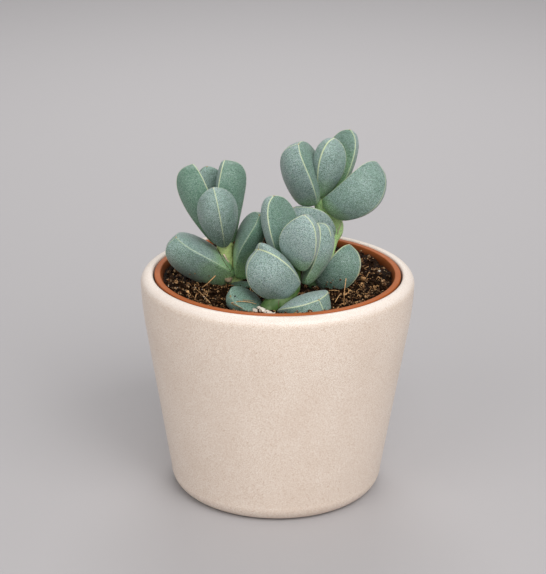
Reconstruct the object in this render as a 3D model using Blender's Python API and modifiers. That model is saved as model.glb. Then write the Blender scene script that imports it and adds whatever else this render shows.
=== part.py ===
"""Potted ice plant: a stoneware cover pot, a grower's pot inside it, soil, and three leafy shoots.

Metres, +Z up. The origin is the middle of the cover pot's foot. The front of the plant looks
along -Y, and +X is to its right. Lengths in the tables are in millimetres, angles in degrees.
"""
import bpy
import bmesh
import math
from mathutils import Matrix, Vector, noise
from mathutils.bvhtree import BVHTree

MM = 0.001
MERGE = 0.00005
SLIVER = 0.00004            # corners that cuts leave closer together than this are welded
CLEARANCE = 0.45            # how far a cutter stands out from the piece it copies

# Cover pot
POT_HEIGHT = 78.7
POT_BASE_RADIUS = 36.6      # where the straight side would meet the ground
POT_FLARE = 0.1565          # widening for each millimetre of height
POT_TUCK_START = 60.0       # above this height the side curves back to upright
POT_TUCK = 0.0041
POT_FOOT_HEIGHT = 6.2
POT_FOOT_WIDTH = 5.6
POT_FLOOR = 6.0
POT_WALL = 4.2
POT_LIP_WIDTH = 3.0         # the lip's outer rounding, across and down
POT_LIP_DROP = 3.3
POT_LIP_INNER = 0.85        # the lip's inner rounding
POT_THROAT_DROP = 10.0      # below the lip the bore narrows a little
POT_THROAT_IN = 0.2
POT_FLOOR_BEVEL = 3.0
POT_SIDE_HEIGHTS = (72.0, 68.0, 64.0, 58.0, 40.0, 22.0)
FOOT_RING_INNER = 27.5
FOOT_RING_DEPTH = 1.2
POT_STEPS = 48

# Grower's pot
GROWER_TOP = 78.6
GROWER_BOTTOM = 6.3
GROWER_RIM_RADIUS = 42.7
GROWER_RIM_WIDTH = 1.9
GROWER_RIM_ROUND = 0.45
GROWER_MOUTH_RADIUS = 39.0  # inside, where the flare of the mouth ends
GROWER_MOUTH_DROP = 3.6
GROWER_SKIRT = 9.0          # height of the band that hangs from the rim outside the wall
GROWER_SKIRT_WALL = 1.0
GROWER_SKIRT_IN = 0.4       # how far the band's foot is drawn in
GROWER_FOOT_RADIUS = 31.0
GROWER_WALL = 0.9
DRAIN_RADIUS = 3.2
DRAIN_CIRCLE = 20.0
DRAIN_COUNT = 6
DRAIN_SIDES = 12
DRAIN_CUT = 6.0             # height of the block that cuts a drain hole

# Soil
SOIL_LEVEL = 74.0
SOIL_BANK = 2.2             # how far the soil climbs at the pot's wall
SOIL_BANK_START = 30.0
SOIL_BANK_WIDTH = 8.0
SOIL_TILT = 0.022           # rise towards the back for each millimetre
SOIL_BOTTOM = 7.6
SOIL_GAP = 0.4
SOIL_RINGS = 9
SOIL_STEPS = 40
CLOD_SIZE = 7.0
CLOD_HEIGHT = 1.3

# Leaf cage: how far along the leaf each ring stands
LEAF_RINGS = (0.0, 0.17, 0.38, 0.60, 0.80, 0.945)
FACE_FULLNESS = 0.74        # 0.5 would leave the two outer faces flat
FACE_CHIN = 0.7             # how far the outer and inner faces follow the keel past the tip
INNER_CHIN = 0.3
KEEL_NECK = 0.07            # the keel starts this much deeper than the margins start wide
INNER_PUFF = 1.5            # the cage's inner point stands out more than the smoothed face will
ROOT_DEPTH = 0.2            # where the base's middle lies between the inner face and the keel

# Stems: points from the soil up, each x, y, z, radius
STEMS = {
    "left_stem": [(-15.4, 4.0, 67.5, 3.6), (-15.4, 4.0, 75.0, 4.2), (-16.4, 4.0, 78.5, 3.7),
                  (-17.7, 4.0, 82.0, 3.0), (-18.3, 4.0, 86.5, 3.0), (-19.0, 4.0, 92.0, 1.6)],
    "centre_stem": [(-3.6, -21.7, 66.0, 3.7), (-2.9, -21.9, 71.5, 3.8), (-0.6, -21.4, 75.0, 3.3),
                    (2.8, -19.8, 76.9, 2.6), (5.1, -17.8, 78.4, 2.3), (5.7, -15.8, 81.2, 2.0),
                    (6.0, -14.0, 86.0, 1.7)],
    "right_stem": [(17.0, 15.8, 67.5, 2.5), (17.2, 16.0, 76.5, 2.4), (19.2, 18.0, 83.8, 2.1),
                   (21.2, 18.6, 88.4, 2.1), (19.6, 18.5, 91.8, 2.6), (16.1, 18.5, 95.2, 2.9),
                   (15.0, 18.3, 99.8, 2.1), (15.8, 17.8, 103.5, 1.4)],
    "side_stem": [(12.9, -0.9, 67.5, 2.6), (13.2, -0.5, 73.0, 2.6), (14.8, 0.4, 77.0, 1.6)],
}

# Leaves: at is the middle of the base; heading and rise give the way the leaf points, turn rolls
# its inner face away from straight up; half is half the width between the two margins, and depth
# runs from them to the keel. arch bows the middle towards the inner face, widest is how far along
# the leaf is widest, neck is the base's share of the width, and puff rounds the inner face. chin
# pushes the keel past the tip, and brow the inner face.
LEAVES = {
    "left_leaf_front": dict(at=(-18.9, 1.4, 88.1), heading=-118, rise=73, turn=38,
                            length=23.2, half=7.4, depth=8.3, arch=0.3, neck=0.36),
    "left_leaf_low_right": dict(at=(-14.4, 4.5, 76.9), heading=-51, rise=62, turn=55,
                                length=27.1, half=7.3, depth=8.3, arch=3.6, widest=0.53, neck=0.77,
                                puff=0.11),
    "left_leaf_low_left": dict(at=(-15.2, 4.5, 78.3), heading=-155, rise=33, turn=-14,
                               length=25.9, half=8.4, depth=12.8, arch=1.4, widest=0.48, neck=0.74,
                               chin=0.12),
    "left_leaf_left": dict(at=(-19.5, 3.9, 87.9), heading=162, rise=69, turn=35,
                           length=29.1, half=7.5, depth=9.4, arch=0.7, widest=0.69, neck=0.28,
                           chin=0.07),
    "left_leaf_right": dict(at=(-17.8, 3.9, 87.6), heading=101, rise=82, turn=-103,
                            length=29.0, half=7.8, depth=9.7, arch=2.5, widest=0.74, neck=0.26,
                            chin=0.03, puff=0.16, brow=0.05),
    "left_leaf_back": dict(at=(-19.2, 7.0, 87.6), heading=134, rise=72, turn=-25,
                           length=26.3, half=6.6, depth=7.0, arch=0.0),
    "centre_leaf_front": dict(at=(5.7, -17.0, 79.4), heading=-167, rise=48, turn=21,
                              length=18.8, half=10.0, depth=12.4, arch=0.6, widest=0.53, neck=0.54,
                              chin=0.08, puff=0.39, brow=0.22),
    "centre_leaf_middle": dict(at=(6.5, -16.0, 86.3), heading=-66, rise=76, turn=11,
                               length=20.1, half=6.9, depth=12.5, arch=3.7, widest=0.48, neck=0.31,
                               chin=0.05),
    "centre_leaf_right": dict(at=(8.0, -15.3, 79.7), heading=56, rise=65, turn=-44,
                              length=21.2, half=7.3, depth=7.6, arch=-0.9, widest=0.61, neck=0.33,
                              chin=0.14),
    "centre_leaf_top": dict(at=(3.9, -9.0, 84.0), heading=165, rise=77, turn=-25,
                            length=25.0, half=7.6, depth=8.8, arch=1.8, neck=0.49, chin=0.05),
    "right_leaf_front": dict(at=(15.5, 16.0, 101.1), heading=-16, rise=79, turn=-106,
                             length=21.9, half=6.4, depth=8.9, arch=0.8, widest=0.62, neck=0.22,
                             chin=0.04),
    "right_leaf_left": dict(at=(14.6, 18.0, 99.2), heading=-143, rise=66, turn=-47,
                            length=23.9, half=9.1, depth=12.6, arch=2.5, widest=0.45, neck=0.61,
                            chin=0.04),
    "right_leaf_right": dict(at=(16.6, 17.5, 96.9), heading=1, rise=43, turn=-45,
                             length=24.2, half=9.9, depth=11.4, arch=-2.8, widest=0.55, neck=0.61,
                             chin=0.07),
    "right_leaf_back": dict(at=(17.2, 19.0, 99.2), heading=16, rise=72, turn=31,
                            length=26.0, half=6.7, depth=7.5, arch=1.4, chin=0.03),
    "right_leaf_low_left": dict(at=(18.9, 16.9, 86.1), heading=-165, rise=40, turn=24,
                                length=18.0, half=7.4, depth=8.4, arch=3.1, neck=0.62, puff=0.15),
    "ground_leaf_left": dict(at=(-5.2, -18.3, 73.8), heading=-146, rise=21, turn=-32,
                             length=13.7, half=5.9, depth=6.1, arch=0.2, chin=0.07),
    "ground_leaf_front": dict(at=(3.0, -17.8, 71.8), heading=-47, rise=25, turn=6,
                              length=17.3, half=9.6, depth=12.0, arch=1.6, widest=0.62, neck=0.56,
                              chin=0.09, puff=0.16),
    "ground_leaf_right": dict(at=(14.2, 0.1, 73.9), heading=3, rise=54, turn=-40,
                              length=18.1, half=7.4, depth=9.5, arch=-0.8, neck=0.62),
    "ground_leaf_back": dict(at=(-16.0, -0.2, 74.2), heading=-26, rise=3, turn=0,
                             length=8.5, half=3.0, depth=3.2, arch=0.3),
}

LOOKS = {
    "stoneware": ((0.79, 0.66, 0.56), 0.55),
    "terracotta_plastic": ((0.45, 0.13, 0.05), 0.45),
    "peat": ((0.03, 0.02, 0.012), 0.95),
    "leaf": ((0.16, 0.26, 0.21), 0.5),
    "stem": ((0.26, 0.38, 0.15), 0.5),
}


def clear_scene():
    for thing in list(bpy.data.objects):
        bpy.data.objects.remove(thing, do_unlink=True)


def new_collection(name):
    group = bpy.data.collections.new(name)
    bpy.context.scene.collection.children.link(group)
    return group


def make_material(name):
    colour, roughness = LOOKS[name]
    material = bpy.data.materials.new(name)
    material.use_nodes = True
    shader = material.node_tree.nodes["Principled BSDF"]
    shader.inputs["Base Color"].default_value = (*colour, 1.0)
    shader.inputs["Roughness"].default_value = roughness
    shader.inputs["Metallic"].default_value = 0.0
    return material


def place(name, data, group, material=None):
    thing = bpy.data.objects.new(name, data)
    group.objects.link(thing)
    if material:
        data.materials.append(material)
    return thing


def settled(thing):
    """The object's mesh with its modifiers worked in, as plain data of its own."""
    bpy.context.view_layer.update()
    graph = bpy.context.evaluated_depsgraph_get()
    return bpy.data.meshes.new_from_object(thing.evaluated_get(graph))


def turned(name, profile, steps, group, material):
    """Spin a profile of (radius, height) points, listed from the axis out and round to it again."""
    mesh = bpy.data.meshes.new(name)
    points = [(radius * MM, 0.0, height * MM) for radius, height in profile]
    mesh.from_pydata(points, [(i, i + 1) for i in range(len(points) - 1)], [])
    thing = place(name, mesh, group, material)
    spin = thing.modifiers.new("turn", "SCREW")
    spin.axis = "Z"
    spin.steps = spin.render_steps = steps
    spin.use_merge_vertices = True
    spin.merge_threshold = MERGE
    spin.use_smooth_shade = True
    return thing


def arc(centre, radii, start, end, count):
    """Points on an ellipse's arc, from one angle to another."""
    points = []
    for i in range(count):
        angle = math.radians(start + (end - start) * i / (count - 1))
        points.append((centre[0] + radii[0] * math.cos(angle), centre[1] + radii[1] * math.sin(angle)))
    return points


def pot_radius(height):
    tuck = POT_TUCK * max(0.0, height - POT_TUCK_START) ** 2
    return POT_BASE_RADIUS + POT_FLARE * height - tuck


def cover_pot(group, material):
    """The pot's section: floor, inner wall, rounded lip, flared outer side, rounded foot, ring."""
    brow_height = POT_HEIGHT - POT_LIP_DROP
    brow = pot_radius(brow_height)
    inner = brow - POT_WALL
    floor_radius = pot_radius(POT_FLOOR) - POT_WALL
    foot = pot_radius(POT_FOOT_HEIGHT)
    profile = [(0.0, POT_FLOOR), (floor_radius - POT_FLOOR_BEVEL, POT_FLOOR)]
    profile += [(floor_radius, POT_FLOOR + POT_FLOOR_BEVEL)]
    profile += [(inner - POT_THROAT_IN, POT_HEIGHT - POT_THROAT_DROP)]
    profile += arc((inner + POT_LIP_INNER, POT_HEIGHT - POT_LIP_INNER), (POT_LIP_INNER, POT_LIP_INNER),
                   180, 90, 3)
    profile += arc((brow - POT_LIP_WIDTH, brow_height), (POT_LIP_WIDTH, POT_LIP_DROP), 90, 0, 6)
    profile += [(pot_radius(z), z) for z in POT_SIDE_HEIGHTS]
    profile += arc((foot - POT_FOOT_WIDTH, POT_FOOT_HEIGHT), (POT_FOOT_WIDTH, POT_FOOT_HEIGHT), 0, -90, 6)
    profile += [(FOOT_RING_INNER, 0.0), (FOOT_RING_INNER - 1.0, FOOT_RING_DEPTH), (0.0, FOOT_RING_DEPTH)]
    return turned("cover_pot", profile, POT_STEPS, group, material)


def grower_inner_radius(height):
    """Inside of the grower's pot: the mouth flares, the wall below tapers to the foot."""
    neck = GROWER_TOP - GROWER_MOUTH_DROP
    if height > neck:
        flare = GROWER_RIM_RADIUS - GROWER_RIM_WIDTH - GROWER_MOUTH_RADIUS
        return GROWER_MOUTH_RADIUS + flare * (height - neck) / GROWER_MOUTH_DROP
    foot = GROWER_FOOT_RADIUS - GROWER_WALL
    return foot + (GROWER_MOUTH_RADIUS - foot) * (height - GROWER_BOTTOM) / (neck - GROWER_BOTTOM)


def grower_pot(group, cutters, material):
    """A thin tapered pot with a rim, a band that hangs from it, and drain holes in its floor."""
    neck = GROWER_TOP - GROWER_MOUTH_DROP
    hem = GROWER_TOP - GROWER_SKIRT
    under_rim = GROWER_TOP - GROWER_RIM_WIDTH
    floor = GROWER_BOTTOM + GROWER_WALL
    rounding = GROWER_TOP - GROWER_RIM_ROUND
    inner = grower_inner_radius(rounding)
    profile = [(0.0, floor), (grower_inner_radius(floor), floor), (GROWER_MOUTH_RADIUS, neck)]
    profile += [(inner, rounding), (inner + GROWER_RIM_ROUND, GROWER_TOP)]
    profile += [(GROWER_RIM_RADIUS - GROWER_RIM_ROUND, GROWER_TOP), (GROWER_RIM_RADIUS, rounding)]
    profile += [(GROWER_RIM_RADIUS - GROWER_SKIRT_IN, hem)]
    profile += [(GROWER_RIM_RADIUS - GROWER_SKIRT_IN - GROWER_SKIRT_WALL, hem)]
    profile += [(GROWER_RIM_RADIUS - GROWER_SKIRT_WALL, under_rim)]
    profile += [(grower_inner_radius(under_rim) + GROWER_WALL, under_rim)]
    profile += [(GROWER_MOUTH_RADIUS + GROWER_WALL, neck), (GROWER_FOOT_RADIUS, GROWER_BOTTOM + 1.0)]
    profile += [(GROWER_FOOT_RADIUS - 1.0, GROWER_BOTTOM), (0.0, GROWER_BOTTOM)]
    pot = turned("grower_pot", profile, POT_STEPS, group, material)
    for index in range(DRAIN_COUNT):
        angle = 2 * math.pi * index / DRAIN_COUNT
        mesh = bpy.data.meshes.new("drain hole")
        shape = bmesh.new()
        bmesh.ops.create_cone(shape, cap_ends=True, segments=DRAIN_SIDES, radius1=DRAIN_RADIUS * MM,
                              radius2=DRAIN_RADIUS * MM, depth=DRAIN_CUT * MM)
        shape.to_mesh(mesh)
        shape.free()
        hole = place("drain hole", mesh, cutters)
        hole.location = (DRAIN_CIRCLE * MM * math.cos(angle), DRAIN_CIRCLE * MM * math.sin(angle),
                         GROWER_BOTTOM * MM)
        cut(pot, hole)
    return pot


def soil_height(radius):
    """The soil's level, which banks up towards the pot's wall."""
    share = min(1.0, max(0.0, (radius - SOIL_BANK_START) / SOIL_BANK_WIDTH))
    return SOIL_LEVEL + SOIL_BANK * share * share * (3 - 2 * share)


def soil(group, material):
    """Packed peat that fills the grower's pot, with clods raised on its top by a noise formula."""
    edge = SOIL_LEVEL - CLOD_HEIGHT
    top = grower_inner_radius(edge) - SOIL_GAP
    foot = grower_inner_radius(SOIL_BOTTOM) - SOIL_GAP
    radii = [top * i / SOIL_RINGS for i in range(SOIL_RINGS)] + [top - 0.6]
    profile = [(radius, soil_height(radius)) for radius in radii]
    profile += [(top, edge), (foot, SOIL_BOTTOM), (0.0, SOIL_BOTTOM)]
    blank = turned("soil", profile, SOIL_STEPS, group, material)
    mesh = settled(blank)
    for vertex in mesh.vertices:
        if vertex.co.z > (SOIL_LEVEL - 0.1) * MM:
            spot = Vector((vertex.co.x, vertex.co.y, 0.0)) / (CLOD_SIZE * MM)
            vertex.co.z += CLOD_HEIGHT * MM * noise.fractal(spot, 0.8, 2.0, 3) + SOIL_TILT * vertex.co.y
    blank.modifiers.clear()
    blank.data = mesh
    return blank


def stem(name, points, group, material):
    """A tapering tube through the points, made a mesh so that leaves can be cut round it."""
    curve = bpy.data.curves.new(name, "CURVE")
    curve.dimensions = "3D"
    curve.resolution_u = 3
    curve.bevel_depth = MM
    curve.bevel_resolution = 3
    curve.use_fill_caps = True
    spline = curve.splines.new("BEZIER")
    spline.bezier_points.add(len(points) - 1)
    for knot, (x, y, z, radius) in zip(spline.bezier_points, points):
        knot.co = (x * MM, y * MM, z * MM)
        knot.radius = radius
        knot.handle_left_type = knot.handle_right_type = "AUTO"
    guide = place(name + " line", curve, group)
    mesh = settled(guide)
    bpy.data.objects.remove(guide)
    shape = bmesh.new()
    shape.from_mesh(mesh)
    bmesh.ops.remove_doubles(shape, verts=shape.verts, dist=MERGE)
    shape.to_mesh(mesh)
    shape.free()
    mesh.shade_smooth()
    return place(name, mesh, group, material)


def swelling(along, widest, neck):
    """Share of the full width at a place along the leaf: a sine up from the neck, then a round end."""
    if along < widest:
        return neck + (1 - neck) * math.sin(math.pi / 2 * along / widest)
    return math.sqrt(max(0.0, 1 - ((along - widest) / (1 - widest)) ** 2.3))


def leaf_cage(at, heading, rise, turn, length, half, depth, arch, widest=0.56, neck=0.55,
              chin=0.06, puff=0.13, brow=0.0):
    """Rings of six points: margin, outer face, keel, outer face, margin, inner face."""
    swing = Matrix.Rotation(math.radians(heading), 3, "Z") @ Matrix.Rotation(math.radians(-rise), 3, "Y")
    axis = swing @ Vector((1, 0, 0))
    roll = Matrix.Rotation(math.radians(turn), 3, axis)
    inner = roll @ swing @ Vector((0, 0, 1))
    across = axis.cross(inner)
    base = Vector(at)
    points = []
    for along in LEAF_RINGS:
        middle = base + axis * (length * along) + inner * (arch * 4 * along * (1 - along))
        width = half * swelling(along, widest, neck)
        keel = depth * swelling(along, widest, neck + KEEL_NECK)
        push = axis * (length * chin * along ** 2)
        side = across * (width * FACE_FULLNESS)
        back = inner * (keel * FACE_FULLNESS)
        points += [middle - across * width, middle - side - back + push * FACE_CHIN]
        points += [middle - inner * keel + push, middle + side - back + push * FACE_CHIN]
        crown = axis * (length * (INNER_CHIN * chin + brow) * along ** 2)
        points += [middle + across * width, middle + inner * (width * puff * INNER_PUFF) + crown]
    points += [base + axis * length, base - inner * (depth * ROOT_DEPTH)]
    return [point * MM for point in points]


def leaf(name, values, group, material):
    """A fat keeled leaf: a coarse cage whose two margins and keel stay sharp when it is smoothed."""
    points = leaf_cage(**values)
    around = 6
    rings = len(LEAF_RINGS)
    tip, root = rings * around, rings * around + 1
    faces = []
    for column in range(around):
        after = (column + 1) % around
        for ring in range(rings - 1):
            low, high = ring * around, (ring + 1) * around
            faces.append((low + after, low + column, high + column, high + after))
        last = (rings - 1) * around
        faces += [(last + after, last + column, tip), (column, after, root)]
    mesh = bpy.data.meshes.new(name)
    mesh.from_pydata(points, [], faces)
    crease = mesh.attributes.new("crease_edge", "FLOAT", "EDGE")
    for edge in mesh.edges:
        first, second = sorted(edge.vertices)
        lengthwise = second < tip and first % around == second % around
        if first % 2 == 0 and first < tip and (lengthwise or second == tip):
            crease.data[edge.index].value = 1.0
    mesh.shade_smooth()
    thing = place(name, mesh, group, material)
    smooth = thing.modifiers.new("smooth", "SUBSURF")
    smooth.levels = smooth.render_levels = 1
    return thing


def cut(thing, cutter):
    cutter.hide_render = True
    cutter.display_type = "WIRE"
    boolean = thing.modifiers.new("clear of " + cutter.name, "BOOLEAN")
    boolean.operation = "DIFFERENCE"
    boolean.solver = "EXACT"
    boolean.object = cutter


def swollen(thing, cutters):
    """A copy of a piece that stands out from it by the clearance, to cut its neighbours with."""
    copy = place("room for " + thing.name, thing.data.copy(), cutters)
    if "smooth" in thing.modifiers:
        smooth = copy.modifiers.new("smooth", "SUBSURF")
        smooth.levels = smooth.render_levels = 1
    grow = copy.modifiers.new("grow", "DISPLACE")
    grow.mid_level = 0.0
    grow.strength = CLEARANCE * MM
    return copy


def tree_of(thing):
    mesh = settled(thing)
    tree = BVHTree.FromPolygons([v.co for v in mesh.vertices], [p.vertices for p in mesh.polygons])
    bpy.data.meshes.remove(mesh)
    return tree


def weld(thing):
    """Close the slivers that cuts leave along their edges."""
    thing.modifiers.new("flat faces", "TRIANGULATE")
    close = thing.modifiers.new("weld", "WELD")
    close.merge_threshold = SLIVER


def part_pieces(pieces, cutters):
    """Each piece gives way to those before it that it would touch."""
    trees = [tree_of(piece) for piece in pieces]
    for index, keeper in enumerate(pieces[:-1]):
        room = swollen(keeper, cutters)
        grown = tree_of(room)
        touched = [piece for piece, tree in zip(pieces[index + 1:], trees[index + 1:])
                   if grown.overlap(tree)]
        for piece in touched:
            cut(piece, room)
        if not touched:
            bpy.data.objects.remove(room)
    for piece in pieces:
        if any(modifier.type == "BOOLEAN" for modifier in piece.modifiers):
            weld(piece)


def build():
    clear_scene()
    group = new_collection("potted_ice_plant")
    cutters = new_collection("cutters")
    materials = {name: make_material(name) for name in LOOKS}
    cover_pot(group, materials["stoneware"])
    grower_pot(group, cutters, materials["terracotta_plastic"])
    pieces = [stem(name, points, group, materials["stem"]) for name, points in STEMS.items()]
    pieces += [leaf(name, values, group, materials["leaf"]) for name, values in LEAVES.items()]
    pieces.append(soil(group, materials["peat"]))
    part_pieces(pieces, cutters)


build()
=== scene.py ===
import math
import random
import bpy
import bmesh
import numpy as np
from mathutils import Matrix, Vector, kdtree, noise


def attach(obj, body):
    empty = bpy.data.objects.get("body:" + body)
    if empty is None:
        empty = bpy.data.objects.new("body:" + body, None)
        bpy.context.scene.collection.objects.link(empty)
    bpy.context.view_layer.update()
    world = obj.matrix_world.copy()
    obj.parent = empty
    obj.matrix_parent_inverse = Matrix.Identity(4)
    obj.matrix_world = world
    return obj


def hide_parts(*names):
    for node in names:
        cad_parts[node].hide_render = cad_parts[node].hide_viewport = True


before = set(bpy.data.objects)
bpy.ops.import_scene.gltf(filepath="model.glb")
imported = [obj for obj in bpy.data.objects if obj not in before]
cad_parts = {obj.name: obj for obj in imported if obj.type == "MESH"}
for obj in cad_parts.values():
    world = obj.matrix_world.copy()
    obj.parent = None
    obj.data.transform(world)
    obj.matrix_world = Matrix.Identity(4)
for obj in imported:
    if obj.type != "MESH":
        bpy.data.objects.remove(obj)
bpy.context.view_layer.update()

mm = 0.001
fullTurn = 6.28    # radians, near enough for a heading drawn at random
body = "root"
print("frame loaded:", len(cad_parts), "pieces")


# sRGB hex to the linear colour that the shaders read
def hexToLinear(code):
    channels = [int(code[i:i + 2], 16) / 255 for i in (1, 3, 5)]
    return tuple(c / 12.92 if c <= 0.04045 else ((c + 0.055) / 1.055) ** 2.4 for c in channels) + (1.0,)


# Adds a node and gives back one of its outputs. A setting is one of the node's own options or an input,
# and its value is a number, a colour or another node's output.
def addNode(tree, kind, settings, outlet=0):
    node = tree.nodes.new("ShaderNode" + kind)
    for name, value in settings.items():
        if isinstance(name, str) and hasattr(node, name):
            setattr(node, name, value)
        elif isinstance(value, bpy.types.NodeSocket):
            tree.links.new(value, node.inputs[name])
        else:
            isColour = isinstance(value, str)
            node.inputs[name].default_value = hexToLinear(value) if isColour else value
    return node.outputs[outlet] if len(node.outputs) else node


def newMaterial(name):
    material = bpy.data.materials.new(name)
    material.use_nodes = True
    material.node_tree.nodes.clear()
    return material, material.node_tree


# The mesh as its modifiers or its curve make it
def settledMesh(thing):
    bpy.context.view_layer.update()
    graph = bpy.context.evaluated_depsgraph_get()
    return bpy.data.meshes.new_from_object(thing.evaluated_get(graph))


def newPiece(name, mesh, material):
    thing = bpy.data.objects.new(name, mesh)
    bpy.context.scene.collection.objects.link(thing)
    mesh.materials.clear()
    mesh.materials.append(material)
    return thing


# The piece rides with the pot and stands for CAD nodes, which it hides. The slot is not used.
def keepPiece(thing, slot, *nodes):
    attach(thing, body)
    if nodes:
        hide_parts(*nodes)
    return thing


# Camera, light and floor

studio = {
    "distance": 0.600, "rise": 20.1, "roll": 0.441,    # metres, degrees
    "aside": -0.00158, "aim": 0.07275,    # metres, where the view's centre passes the pot's axis
    "lens": 108.12, "sensor": 36, "clip": 0.01,
    "floorColour": "#B3B0B1", "floorSize": 4.0,
    "airColour": "#FFFFFF", "airStrength": 0.42,
    "lights": {"left softbox": dict(power=3.55, size=0.8, place=(-0.81, -0.81, 0.67), aim=(0, 0, 0.06)),
               "front softbox": dict(power=6.95, size=0.8, place=(0.25, -0.93, 0.93), aim=(0, 0, 0.06)),
               "right softbox": dict(power=5.96, size=0.8, place=(0.62, -0.74, 0.93), aim=(0, 0, 0.06)),
               "backdrop softbox": dict(power=2.88, size=0.4, place=(0, 0.6, 0.7), aim=(0, 0.6, 0))},
}


def addCamera(values):
    data = bpy.data.cameras.new("camera")
    data.lens = values["lens"]
    data.sensor_width = values["sensor"]
    data.clip_start = values["clip"]
    camera = bpy.data.objects.new("camera", data)
    bpy.context.scene.collection.objects.link(camera)
    rise = math.radians(values["rise"])
    place = Vector((values["aside"], -values["distance"] * math.cos(rise),
                    values["aim"] + values["distance"] * math.sin(rise)))
    tilt = Matrix.Rotation(math.pi / 2 - rise, 4, "X")
    roll = Matrix.Rotation(math.radians(values["roll"]), 4, "Z")
    camera.matrix_world = Matrix.Translation(place) @ tilt @ roll
    bpy.context.scene.camera = camera


def addSoftbox(name, power, size, place, aim):
    data = bpy.data.lights.new(name, "AREA")
    data.energy = power
    data.size = size
    light = bpy.data.objects.new(name, data)
    bpy.context.scene.collection.objects.link(light)
    light.location = place
    light.rotation_euler = (Vector(aim) - Vector(place)).to_track_quat("-Z", "Y").to_euler()


def addStudio(values):
    bpy.context.scene.view_settings.view_transform = "Standard"
    addCamera(values)
    for name, settings in values["lights"].items():
        addSoftbox(name, **settings)
    world = bpy.data.worlds.new("studio air")
    bpy.context.scene.world = world
    world.use_nodes = True
    background = world.node_tree.nodes["Background"]
    background.inputs["Color"].default_value = hexToLinear(values["airColour"])
    background.inputs["Strength"].default_value = values["airStrength"]
    material, tree = newMaterial("matt painted board")  # no gloss, so only soft shadow shows on it
    shader = addNode(tree, "BsdfPrincipled", {"Base Color": values["floorColour"], "Roughness": 0.9,
                                              "Specular IOR Level": 0.1})
    addNode(tree, "OutputMaterial", {"Surface": shader})
    mesh = bpy.data.meshes.new("floor")
    shape = bmesh.new()
    bmesh.ops.create_grid(shape, x_segments=1, y_segments=1, size=values["floorSize"])
    shape.to_mesh(mesh)
    shape.free()
    newPiece("floor", mesh, material)


addStudio(studio)
print("studio set")


# Cover pot: cast stoneware under a thin matt glaze

coverPot = {
    # millimetres; flare is the radius gained per millimetre of height, tuck draws the wall in near the lip
    "height": 78.7, "baseRadius": 36.6, "flare": 0.1565, "tuckStart": 60.0, "tuck": 0.0041,
    "footHeight": 6.2, "footWidth": 5.6, "floor": 6.0, "floorRound": 3.0, "wall": 4.2, "wallTop": 10.0,
    "wallLean": 0.2, "lipWidth": 3.0, "lipDrop": 3.3, "lipInner": 0.85, "lipGap": 0.6, "footGap": 0.5,
    "ringInner": 27.5, "ringSlope": 1.0, "ringDepth": 1.2, "steps": 192,
    "glaze": "#E9D8C8", "pale": "#F6EBE0", "dark": "#CDB49F", "iron": "#B98E6E",
    # painted highlight: between these heights the glaze is painted paler, for the light on the top of the lip
    "lipHighlight": "#F4ECE6", "lipHighlightMm": (76.3, 77.5), "lipHighlightShare": 0.4,    # the glaze turns paler between these
    "grainMm": 0.22, "ironMm": 0.55, "cloudMm": 14.0, "reliefMm": 0.03,
}


# Matt glazed stoneware, slip cast: a fine sandy grain with iron specks, a soft gleam on the lip, and a
# painted highlight where the glaze is painted paler on the lip's top. The real grain is about 0.1 mm; it is
# drawn as coarse as it must be to show.
def stonewareMaterial(values):
    material, tree = newMaterial("matt glazed stoneware")
    point = addNode(tree, "TexCoord", {}, "Object")
    grain = addNode(tree, "TexNoise", {"Vector": point, "Scale": 1 / (values["grainMm"] * mm), "Detail": 2.0,
                                       "Roughness": 0.6}, "Fac")
    cloud = addNode(tree, "TexNoise", {"Vector": point, "Scale": 1 / (values["cloudMm"] * mm),
                                       "Detail": 3.0}, "Fac")
    iron = addNode(tree, "TexNoise", {"Vector": point, "Scale": 1 / (values["ironMm"] * mm),
                                      "Detail": 1.0}, "Fac")
    paleGrain = addNode(tree, "MapRange", {"Value": grain, "From Min": 0.51, "From Max": 0.6})
    darkGrain = addNode(tree, "MapRange", {"Value": grain, "From Min": 0.49, "From Max": 0.38,
                                           "To Max": 0.95})
    ironGrain = addNode(tree, "MapRange", {"Value": iron, "From Min": 0.34, "From Max": 0.22, "To Max": 0.6})
    cloudShare = addNode(tree, "MapRange", {"Value": cloud, "From Min": 0.35, "From Max": 0.7,
                                            "To Max": 0.2})
    tone = addNode(tree, "Mix", {"data_type": "RGBA", 0: paleGrain, 6: values["glaze"], 7: values["pale"]}, 2)
    for share, colour in ((darkGrain, "dark"), (ironGrain, "iron"), (cloudShare, "dark")):
        tone = addNode(tree, "Mix", {"data_type": "RGBA", 0: share, 6: tone, 7: values[colour]}, 2)
    low, high = values["lipHighlightMm"]
    height = addNode(tree, "SeparateXYZ", {"Vector": point}, "Z")
    # painted highlight: the glaze is made paler towards the top of the lip, for the light that falls there
    lipHighlightShare = addNode(tree, "MapRange", {"Value": height, "From Min": low * mm, "From Max": high * mm,
                                          "To Max": values["lipHighlightShare"]})
    tone = addNode(tree, "Mix", {"data_type": "RGBA", 0: lipHighlightShare, 6: tone, 7: values["lipHighlight"]}, 2)
    dull = addNode(tree, "MapRange", {"Value": grain, "From Min": 0.3, "From Max": 0.7, "To Min": 0.62,
                                      "To Max": 0.48})
    relief = addNode(tree, "Bump", {"Height": grain, "Distance": values["reliefMm"] * mm, "Strength": 0.4})
    shader = addNode(tree, "BsdfPrincipled", {
        "Base Color": tone, "Roughness": dull, "IOR": 1.5, "Specular IOR Level": 0.4, "Normal": relief,
        "Coat Weight": 0.3, "Coat Roughness": 0.15})
    addNode(tree, "OutputMaterial", {"Surface": shader})
    return material


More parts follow.
